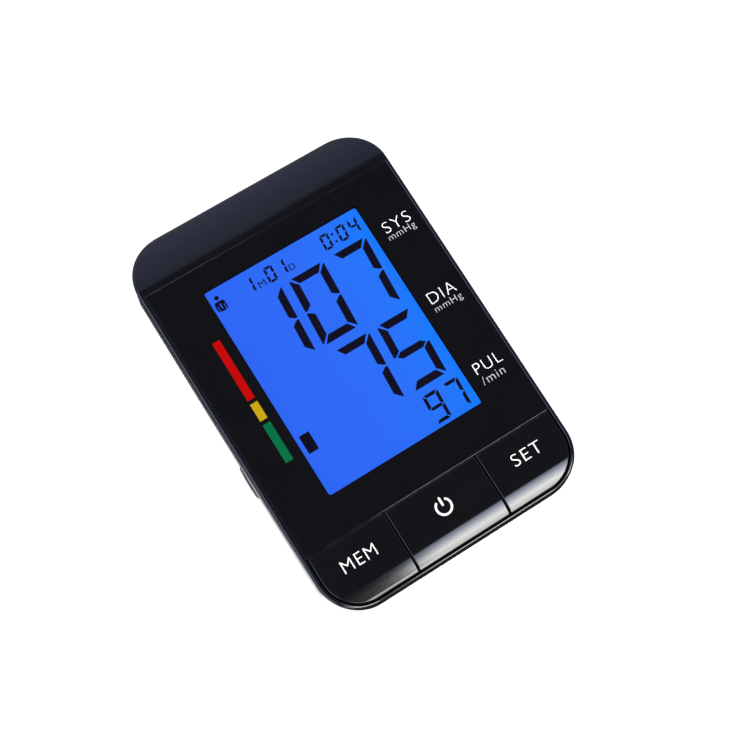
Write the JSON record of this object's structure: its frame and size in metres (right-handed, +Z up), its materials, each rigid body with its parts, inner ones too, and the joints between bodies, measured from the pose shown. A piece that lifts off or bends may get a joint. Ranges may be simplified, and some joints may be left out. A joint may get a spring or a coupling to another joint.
{
  "type": "upper arm blood pressure monitor",
  "caption": "Wedge-shaped black table unit for measuring blood pressure, with a large blue-lit display, rocking keys along the front, a cuff socket and a battery door.",
  "frame": {"origin": "on the table plane under the middle of the case's box", "axes": "+X to the user's right, +Y away from the user, towards the tall end, +Z up"},
  "size_m": [0.098, 0.143, 0.0442],
  "materials": {
    "case_black": "high-gloss moulded plastic",
    "lens_black": "polished acrylic, printed black on the back around a clear window",
    "key_black": "polished plastic with white printed legends",
    "lcd_glass": "blue-lit display glass",
    "guide_white": "frosted acrylic",
    "white_plastic": "as moulded",
    "tape_black": "foam tape",
    "strip_pink": "layered conductive rubber",
    "dark_plastic": "as moulded",
    "plunger_white": "as moulded",
    "pcb_green": "solder mask over glass fibre",
    "capacitor_blue": "sleeve",
    "steel": "nickel plated",
    "foot_rubber": "matt",
    "cell_jacket": "plain printed jacket",
    "socket_grey": "fine textured",
    "silicone": "translucent silicone",
    "copper": "enamelled winding or sintered bronze",
    "foam": "sponge",
    "wire_red": "insulated wire"
  },
  "bodies": {
    "case": {"upper_housing": "case_black", "lower_housing": "case_black", "display_lens": "lens_black", "lens_tape": "tape_black", "lcd_panel": "lcd_glass", "light_guide": "guide_white", "backlight_leds": "white_plastic", "lcd_holder": "white_plastic", "contact_strip": "strip_pink", "switch_bodies": "dark_plastic", "main_pcb": "pcb_green", "pcb_screws": "steel", "processor_chip": "dark_plastic", "capacitors": "capacitor_blue", "buzzer": "dark_plastic", "wire_connectors": "white_plastic", "pressure_sensor": "white_plastic", "case_screws": "steel", "rubber_feet": "foot_rubber", "aa_cells": "cell_jacket", "battery_springs": "steel", "battery_contacts": "steel", "air_socket": "socket_grey", "tube_tee": "white_plastic", "air_tubes": "silicone", "dc_jack": "dark_plastic", "dc_jack_pin": "steel", "pump_cover": "white_plastic", "pump_valve_plate": "socket_grey", "pump_diaphragm": "foot_rubber", "pump_crankcase": "socket_grey", "motor_magnets": "dark_plastic", "motor_can": "steel", "motor_bearings": "copper", "motor_end_cap": "dark_plastic", "pump_sleeve": "foam", "valve_frame": "steel", "valve_coil": "copper", "valve_spring": "steel", "valve_nozzle": "white_plastic", "lead_wires": "wire_red"},
    "mem_key": {"mem_key": "key_black"},
    "power_key": {"power_key": "key_black"},
    "set_key": {"set_key": "key_black"},
    "mem_switch": {"mem_switch_plunger": "plunger_white"},
    "power_switch": {"power_switch_plunger": "plunger_white"},
    "set_switch": {"set_switch_plunger": "plunger_white"},
    "battery_door": {"battery_door": "case_black"},
    "door_latch": {"door_latch": "case_black"},
    "pump_rotor": {"pump_eccentric": "copper", "motor_shaft": "steel", "motor_armature": "copper"},
    "pump_yoke": {"pump_yoke": "white_plastic"},
    "valve_plunger": {"valve_plunger": "steel"}
  },
  "joints": [
    {"name": "mem_key_rock", "type": "hinge", "parent": "case", "child": "mem_key", "pos_m": [0, -0.04986, 0.01849], "axis": [1, 0, 0], "range_deg": [0, 1.4], "stiffness_Nm_per_rad": 1.5},
    {"name": "mem_switch_press", "type": "slide", "parent": "case", "child": "mem_switch", "axis": [0, 0.1908, -0.9816], "range_m": [0, 0.00025]},
    {"name": "power_key_rock", "type": "hinge", "parent": "case", "child": "power_key", "pos_m": [0, -0.04986, 0.01849], "axis": [1, 0, 0], "range_deg": [0, 1.4], "stiffness_Nm_per_rad": 1.5},
    {"name": "power_switch_press", "type": "slide", "parent": "case", "child": "power_switch", "axis": [0, 0.1908, -0.9816], "range_m": [0, 0.00025]},
    {"name": "set_key_rock", "type": "hinge", "parent": "case", "child": "set_key", "pos_m": [0, -0.04986, 0.01849], "axis": [1, 0, 0], "range_deg": [0, 1.4], "stiffness_Nm_per_rad": 1.5},
    {"name": "set_switch_press", "type": "slide", "parent": "case", "child": "set_switch", "axis": [0, 0.1908, -0.9816], "range_m": [0, 0.00025]},
    {"name": "battery_door_hinge", "type": "hinge", "parent": "case", "child": "battery_door", "pos_m": [0, 0.059, 0.0029], "axis": [1, 0, 0], "range_deg": [0, 75]},
    {"name": "door_latch_flex", "type": "hinge", "parent": "battery_door", "child": "door_latch", "pos_m": [0.00675, 0.00025, 0.0024], "axis": [-1, 0, 0], "range_deg": [0, 20]},
    {"name": "pump_spin", "type": "hinge", "parent": "case", "child": "pump_rotor", "pos_m": [-0.0348, 0.016, 0.0135], "axis": [0, 1, 0], "continuous": true},
    {"name": "yoke_nutation", "type": "hinge", "parent": "pump_rotor", "child": "pump_yoke", "pos_m": [-0.0348, 0.029, 0.0135], "axis": [0.0872, 0.9962, 0], "continuous": true},
    {"name": "bleed_valve_stroke", "type": "slide", "parent": "case", "child": "valve_plunger", "axis": [0, 0, -1], "range_m": [0, 0.0008], "deforming": ["valve_spring"]}
  ],
  "couplings": [
    {"joint": "mem_switch_press", "follows": "mem_key_rock", "m_per_rad": 0.01},
    {"joint": "power_switch_press", "follows": "power_key_rock", "m_per_rad": 0.01},
    {"joint": "set_switch_press", "follows": "set_key_rock", "m_per_rad": 0.01},
    {"joint": "yoke_nutation", "follows": "pump_spin", "ratio": -1}
  ]
}
